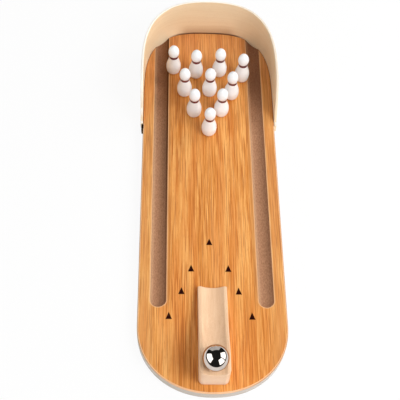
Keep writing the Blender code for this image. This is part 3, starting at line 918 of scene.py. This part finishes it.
rampValues = {
    "topHeight": 17.0 * mm,
    "lipHeight": 3.6 * mm,
    "landing": 10.0 * mm,
    "slopeStart": 0.18,
    "slopeEndRun": 0.35,
    "slopeEndDrop": 0.89,
    "grooveWidth": 14.6 * mm,
    "grooveDepth": 2.4 * mm,
    "grooveEdgeRound": 0.1 * mm,
    "cornerRadius": 3.2 * mm,
    "farCorner": 0.8 * mm,
    "edgeRound": 0.6 * mm,
    # how closely its surface is worked out
    "slopeSteps": 90,
    "rows": 110,
    "nearRows": 26,
    "farRows": 12,
    "columns": 61,
    "wallSteps": 8,
    # pale wood: sizes of its spots across, along and up, its tones, coats as (colour, strength),
    # and where each coat goes from nothing to full
    "swaySize": (9 * mm, 30 * mm, 9 * mm),
    "swayAcross": 1.4 * mm,
    "swayUp": 1.2 * mm,
    "bandSize": (2.4 * mm, 90 * mm, 3.4 * mm),
    "fineSize": (0.35 * mm, 16 * mm, 0.45 * mm),
    "fleckSize": (0.22 * mm, 1.6 * mm, 0.6 * mm),
    "tones": (
        (0.34, srgb(226, 184, 146)),
        (0.5, srgb(233, 193, 155)),
        (0.66, srgb(239, 203, 166)),
    ),
    "flecks": (srgb(196, 150, 110), 0.2),
    "endGrain": (srgb(243, 216, 192), 1.0),
    "relief": 0.03 * mm,
    "fleckSpots": (0.62, 0.72),
    "endFacing": (-0.5, -0.9),
    "endFromFoot": (3 * mm, 14 * mm),
    "endAtFoot": 0.95,
    "endLoss": 0.75,
}
rampLength = rampHigh.y - rampLow.y
rampHalf = (rampHigh.x - rampLow.x) / 2


def rampCrest(values):
    # level landing, then a Bezier slope down to the lip: rows of (distance, height)
    t = np.linspace(0, 1, values["slopeSteps"])[:, None]
    run = rampLength - values["landing"]
    drop = values["topHeight"] - values["lipHeight"]
    start = values["landing"]
    corners = np.array([
        [start, values["topHeight"]],
        [start + run * values["slopeStart"], values["topHeight"]],
        [start + run * values["slopeEndRun"], values["topHeight"] - drop * values["slopeEndDrop"]],
        [rampLength, values["lipHeight"]],
    ])
    weights = [(1 - t) ** 3, 3 * t * (1 - t) ** 2, 3 * t * t * (1 - t), t ** 3]
    slope = np.concatenate(weights, axis=1) @ corners
    return np.concatenate([[[0.0, values["topHeight"]]], slope])


def rampSurfaces(values):
    # height(x, y) = crest(y) - groove(x) - rounding at the rims and ends; sides drop to the foot
    soft, corner, far = values["edgeRound"], values["cornerRadius"], values["farCorner"]
    crest = rampCrest(values)
    nearRows = corner * (1 - np.cos(np.linspace(0.0, np.pi / 2, values["nearRows"])))
    farRows = rampLength - far * (1 - np.cos(np.linspace(np.pi / 2, 0.0, values["farRows"])))
    between = np.linspace(corner, rampLength - far, values["rows"])
    rows = np.unique(np.concatenate([nearRows, between, farRows]))
    height = np.interp(rows, crest[:, 0], crest[:, 1])
    nearEnd = corner - np.sqrt(np.maximum(corner ** 2 - np.maximum(corner - rows, 0) ** 2, 0))
    farEnd = far - np.sqrt(np.maximum(far ** 2 - np.maximum(rows - rampLength + far, 0) ** 2, 0))
    half = rampHalf - nearEnd - farEnd
    edge = 0.5 * (1 - np.cos(np.linspace(0, np.pi, values["columns"])))
    rim = 1 - soft / rampHalf
    flat, rounded = np.linspace(-rim, rim, values["columns"]), rim + (1 - rim) * edge
    share = np.unique(np.concatenate([flat, rounded, -rounded]))
    x = half[:, None] * share
    reach = values["grooveWidth"] / 2
    bend = (reach ** 2 + values["grooveDepth"] ** 2) / (2 * values["grooveDepth"])
    groove = np.sqrt(bend ** 2 - np.minimum(np.abs(x), bend) ** 2) - (bend - values["grooveDepth"])
    groove = (groove + np.hypot(groove, values["grooveEdgeRound"])) / 2
    fromSide = np.clip(soft - (half[:, None] - np.abs(x)), 0, soft)
    fromEnd = np.clip(soft - np.minimum(rows, rampLength - rows), 0, soft)[:, None]
    worn = np.minimum(np.hypot(fromSide, fromEnd), soft)
    rounding = soft - np.sqrt(soft ** 2 - worn ** 2)
    z = rampLow.z + height[:, None] - groove - rounding
    y = rampLow.y + rows[:, None] + 0 * x
    top = np.stack([x, y, z], axis=-1)
    foot = np.stack([x, y, rampLow.z + 0 * x], axis=-1)
    down = np.linspace(0, 1, values["wallSteps"])[:, None, None]
    edges = ((grid[:, 0], grid[:, -1], grid[0], grid[-1]) for grid in (top, foot))
    walls = [upper + (lower - upper) * down for upper, lower in zip(*edges)]
    return [(grid, False, 0, None) for grid in (top, foot, *walls)]


def rampWood(values):
    # straight pale grain along the ramp, coming through as end grain on its near and far faces
    recipe = Recipe("rampWood", Coat_Weight=0.08, Coat_Roughness=0.35)
    x, y, z = recipe.across, recipe.along, recipe.up
    sway = recipe.spots((x, y, z), values["swaySize"], 1.0) - 0.5
    wavy = (x + sway * values["swayAcross"], y, z + sway * values["swayUp"])
    bands = recipe.spots(wavy, values["bandSize"], 2.0, 0.6)
    fine = recipe.spots(wavy, values["fineSize"], 2.0, 0.6)
    flecks = recipe.spots((x, y, z), values["fleckSize"], 1.0).fade(*values["fleckSpots"])
    # the near face is paler, most at the foot
    upward = z.fade(*values["endFromFoot"], rampLow.z)
    paler = values["endAtFoot"] - upward * values["endLoss"]
    wood = recipe.coats(
        recipe.tones(bands * 0.55 + fine * 0.45, values["tones"]),
        (flecks, values["flecks"]),
        (recipe.facing()[1].fade(*values["endFacing"]) * paler, values["endGrain"]),
    )
    return recipe.finish(wood, 0.48 + fine * 0.16, fine - flecks * 0.5, values["relief"])


makePiece("rampBlock", rampSurfaces(rampValues), "ramp", "ramp",
          [rampWood(rampValues)], 40.0)
print("ramp made")


# Ball: polished steel

ballValues = {
    "rings": 61,
    "sides": 96,
    "smearSize": (5 * mm, 5 * mm, 5 * mm),
    "scratchSize": (0.15 * mm, 2.5 * mm, 0.4 * mm),
    "scratchWarp": 0.6,
    "tones": ((0.3, srgb(212, 202, 194)), (0.7, srgb(226, 218, 211))),
    "rimTint": (0.55, 0.5, 0.48, 1),
    "smearSpots": (0.4, 0.8),
    "scratchSpots": (0.6, 0.75),
}


def ballSurfaces(values):
    # a half circle turned about the vertical, with closed poles
    radius = (ballHigh.z - ballLow.z) / 2
    angle = np.linspace(-np.pi / 2, np.pi / 2, values["rings"])
    profile = np.stack([radius * np.cos(angle), radius * np.sin(angle)], axis=1)
    profile[[0, -1], 0] = 0.0
    return [(revolve(profile, values["sides"], (ballLow + ballHigh) / 2), True, 0, None)]


def polishedSteel(values):
    recipe = Recipe("polishedSteel", Metallic=1.0, Specular_Tint=values["rimTint"])
    place = (recipe.across, recipe.along, recipe.up)
    smears = recipe.spots(place, values["smearSize"], 3.0)
    scratches = recipe.spots(place, values["scratchSize"], 2.0, 0.6, values["scratchWarp"])
    dull = smears.fade(*values["smearSpots"])
    scratched = scratches.fade(*values["scratchSpots"])
    roughness = 0.03 + dull * 0.04 + scratched * 0.05
    return recipe.finish(recipe.tones(smears, values["tones"]), roughness)


makePiece("steelBall", ballSurfaces(ballValues), "ball", "ball",
          [polishedSteel(ballValues)])
print("ball made")


# Pins: turned, painted white, with one dark red line round the neck

pinValues = {
    "baseRadius": 4.1 * mm,
    "bellyRadius": 5.4 * mm,
    "neckRadius": 3.35 * mm,
    "headRadius": 4.0 * mm,
    "bellyHeight": 6.0 * mm,
    "neckHeight": 16.5 * mm,
    "headHeight": 20.5 * mm,
    "footRound": 0.6 * mm,
    "turnSteps": 14,
    "waistSteps": 22,
    "sides": 56,
    # paint: sizes of its spots, its tones, coats as (colour, strength), and where each coat goes
    # from nothing to full
    "dipSize": (1.6 * mm, 1.6 * mm, 1.6 * mm),
    "dustSize": (4 * mm, 4 * mm, 3 * mm),
    "tones": ((0.3, srgb(244, 245, 247)), (0.7, srgb(251, 252, 253))),
    "leftShade": (srgb(220, 207, 200), 0.4),
    "footShade": (srgb(200, 190, 178), 0.35),
    "ring": (srgb(94, 0, 28), 1.0),
    "ringHeight": 16.85 * mm,
    "ringWidth": 2.4 * mm,
    "ringWobble": 0.25 * mm,
    "ringSoft": 0.06 * mm,
    "relief": 0.03 * mm,
    "leftAcross": (2 * mm, -26 * mm),
    "leftFromDeck": (18 * mm, 14 * mm),
    "footFromDeck": (1.6 * mm, 0.0),
}


def pinProfile(values, total):
    # quarter turn foot, quarter ellipse to the belly, eased waist and neck, quarter ellipse on top
    turn = np.linspace(0, np.pi / 2, values["turnSteps"])
    share = np.linspace(0, 1, values["waistSteps"])
    ease = (1 - np.cos(np.pi * share)) / 2
    base, soft = values["baseRadius"], values["footRound"]
    belly, bellyUp = values["bellyRadius"], values["bellyHeight"]
    neck, neckUp = values["neckRadius"], values["neckHeight"]
    head, headUp = values["headRadius"], values["headHeight"]
    rise = 1 - np.cos(turn)
    foot = np.stack([base - soft * (1 - np.sin(turn)), soft * rise], axis=1)
    swell = np.stack([base + (belly - base) * np.sin(turn), soft + (bellyUp - soft) * rise], axis=1)
    waist = np.stack([belly + (neck - belly) * ease, bellyUp + (neckUp - bellyUp) * share], axis=1)
    flare = np.stack([neck + (head - neck) * ease, neckUp + (headUp - neckUp) * share], axis=1)
    crown = np.stack([head * np.cos(turn), headUp + (total - headUp) * np.sin(turn)], axis=1)
    crown[-1, 0] = 0.0
    middle = np.array([[0.0, 0.0]])
    return np.concatenate([middle, foot, swell[1:], waist[1:], flare[1:], crown[1:]])


def pinPaint(values, deckHeight):
    # glossy white, with painted shade on the bodies to the left and at the feet, and a wavering
    # dark red ring
    recipe = Recipe("pinPaint", Coat_Weight=0.5, Coat_Roughness=0.08)
    x, z = recipe.across, recipe.up
    place = (x, recipe.along, z)
    dips = recipe.spots(place, values["dipSize"], 2.0)
    dust = recipe.spots(place, values["dustSize"], 3.0)
    body = z.fade(*values["leftFromDeck"], deckHeight)
    wobble = (dust - 0.5) * values["ringWobble"]
    away = abs(z + wobble - (deckHeight + values["ringHeight"])) - values["ringWidth"] / 2
    ring = away.fade(values["ringSoft"], -values["ringSoft"])
    colour = recipe.coats(
        recipe.tones(dust, values["tones"]),
        (x.fade(*values["leftAcross"]) * body, values["leftShade"]),
        (z.fade(*values["footFromDeck"], deckHeight), values["footShade"]),
        (ring, values["ring"]),
    )
    return recipe.finish(colour, 0.26 + dust * 0.12, dips + ring * 0.6, values["relief"])


pinFinish = [pinPaint(pinValues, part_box("pin_01")[0].z)]
for node in sorted(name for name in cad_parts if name.startswith("pin_")):
    low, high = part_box(node)
    spot = ((low.x + high.x) / 2, (low.y + high.y) / 2, low.z)
    shape = revolve(pinProfile(pinValues, high.z - low.z), pinValues["sides"], spot)
    name = node.replace("pin_", "paintedPin")
    makePiece(name, [(shape, True, 0, None)], node, node, pinFinish, 50.0)
print("pins made")


# Floor, lights and world

lightValues = {
    "target": (0.0, 0.0, 10 * mm),
    "distance": 0.9,
    "lamps": (
        # name, direction from the game, size across and up, watts
        ("keyBox", (0.56, -0.44, 0.70), (0.5, 0.5), 5.5),
        ("rightBox", (0.73, 0.42, 0.54), (0.55, 0.55), 3.3),
        ("leftBox", (-0.83, -0.48, 0.27), (0.50, 0.40), 1.45),
    ),
    "fill": 0.46,
    "fillColour": (1.0, 0.985, 0.965, 1),
    "panels": (
        # what polished pieces see round the table: compass bearing of its middle from +Y towards
        # +X, its left, right, bottom and top as shares of its distance, its share of panelBright
        (-104.0, -0.62, 0.75, 0.12, 1.35, 1.0),
        (80.0, -0.42, 0.42, 0.08, 1.3, 1.0),
        (137.0, -0.5, 0.3, 0.0, 1.05, 1.0),
        (-6.0, -0.6, 0.6, 0.0, 0.9, 0.27),
    ),
    "panelBright": 2.2,
    "panelSoft": 0.05,
    "roomDark": 0.015,
    # the white table that polished pieces see: half its width, its front edge, and their softness
    "table": (260 * mm, -235 * mm),
    "tableSoft": (20 * mm, 15 * mm),
    "tableColour": (0.95, 0.92, 0.9, 1),
    "beyondTable": (0.02, 0.02, 0.02, 1),
    "floorSize": 6.0,
    "floorColour": (0.86, 0.86, 0.86, 1),
    "floorWhite": 0.92,
}
white = (1, 1, 1, 1)


def makeLamps(values):
    target = Vector(values["target"])
    for name, direction, (across, up), watts in values["lamps"]:
        data = bpy.data.lights.new(name, "AREA")
        data.shape = "RECTANGLE"
        data.size, data.size_y = across, up
        data.energy = watts
        lamp = bpy.data.objects.new(name, data)
        away = Vector(direction).normalized()
        lamp.location = target + away * values["distance"]
        lamp.rotation_euler = away.to_track_quat("Z", "Y").to_euler()
        lamp.visible_glossy = False
        bpy.context.scene.collection.objects.link(lamp)


def panelLight(studio, toward, panel, soft):
    # an upright panel: directions that meet its plane between its sides, with soft edges
    bearing, left, right, bottom, top, bright = panel
    angle = math.radians(bearing)
    ahead = studio.dot(toward, (math.sin(angle), math.cos(angle), 0)).high(0.001)
    aside = studio.dot(toward, (math.cos(angle), -math.sin(angle), 0)) / ahead
    height = studio.dot(toward, (0, 0, 1)) / ahead
    for part, low, high in ((aside, left, right), (height, bottom, top)):
        reach = (high - low) / 2
        bright = abs(part - (low + high) / 2).fade(reach + soft, reach - soft) * bright
    return bright


def makeWorld(values):
    # plain light all round, white to the camera; polished pieces see panels in a dark room
    world = bpy.data.worlds.new("studio")
    bpy.context.scene.world = world
    world.use_nodes = True
    studio = Nodes(world.node_tree)
    toward = studio.add("ShaderNodeTexCoord", {}, {}, "Generated")
    lights = [panelLight(studio, toward, panel, values["panelSoft"]) for panel in values["panels"]]
    seen = lights[0]
    for light in lights[1:]:
        seen = seen.high(light)
    plain, dark, bright, clear = (
        studio.add("ShaderNodeBackground", {}, {"Color": colour, "Strength": strength})
        for colour, strength in (
            (values["fillColour"], values["fill"]),
            (white, values["roomDark"]),
            (white, values["panelBright"]),
            (white, 1.0),
        )
    )
    room = studio.choose(seen, dark, bright)
    unseen = studio.choose(studio.ray("Is Glossy Ray"), plain, room)
    whole = studio.choose(studio.ray("Is Camera Ray"), unseen, clear)
    studio.link(whole, studio.tree.nodes["World Output"], "Surface")


def makeFloor(values):
    # white to the camera but for the game's shadow; polished pieces see a white table, dark beyond
    size = values["floorSize"]
    mesh = bpy.data.meshes.new("floor")
    corners = [(-size, -size, 0), (size, -size, 0), (size, size, 0), (-size, size, 0)]
    mesh.from_pydata(corners, [], [(0, 1, 2, 3)])
    floor = bpy.data.objects.new("floor", mesh)
    bpy.context.scene.collection.objects.link(floor)
    recipe = Recipe("paleFloor", Roughness=0.9, Base_Color=values["floorColour"])
    (side, front), (sideSoft, frontSoft) = values["table"], values["tableSoft"]
    table = abs(recipe.across).fade(sideSoft, 0.0, side) * recipe.along.fade(-frontSoft, 0.0, front)
    dark, bright, clear = (
        recipe.add("ShaderNodeEmission", {}, {"Color": colour, "Strength": 1.0})
        for colour in (values["beyondTable"], values["tableColour"], white)
    )
    lit = Signal(recipe, recipe.shader.outputs["BSDF"])
    unseen = recipe.choose(recipe.ray("Is Glossy Ray"), lit, recipe.choose(table, dark, bright))
    whole = recipe.choose(recipe.ray("Is Camera Ray") * values["floorWhite"], unseen, clear)
    recipe.link(whole, recipe.tree.nodes["Material Output"], "Surface")
    mesh.materials.append(recipe.material)


makeLamps(lightValues)
makeWorld(lightValues)
makeFloor(lightValues)
bpy.context.scene.view_settings.view_transform = "Standard"
print("floor, lights and world made")
